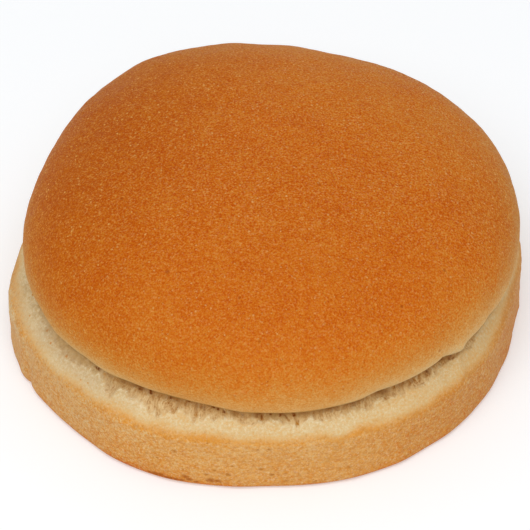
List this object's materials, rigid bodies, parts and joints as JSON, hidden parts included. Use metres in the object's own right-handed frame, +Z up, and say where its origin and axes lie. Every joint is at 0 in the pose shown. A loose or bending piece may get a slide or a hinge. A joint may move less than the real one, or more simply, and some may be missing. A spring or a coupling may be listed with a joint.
{
  "type": "hamburger bun",
  "caption": "Plain sliced hamburger bun, closed: a browned domed crown lying on a flat pan-baked heel, with torn pale crumb showing at the slice.",
  "frame": {"origin": "on the surface that the bun stands on, under the middle of its box in X and Y", "axes": "+Z up through the crown, -Y towards the front that the picture shows, +X to the right of the picture"},
  "size_m": [0.103, 0.1008, 0.043],
  "materials": {
    "heel_crust": "matt, dry, golden pan-baked crust with pale crumb at its break",
    "crown_crust": "browned, dry, softly shining crust with fine blisters"
  },
  "bodies": {
    "root": {"heel": "heel_crust", "crown": "crown_crust"}
  },
  "joints": []
}
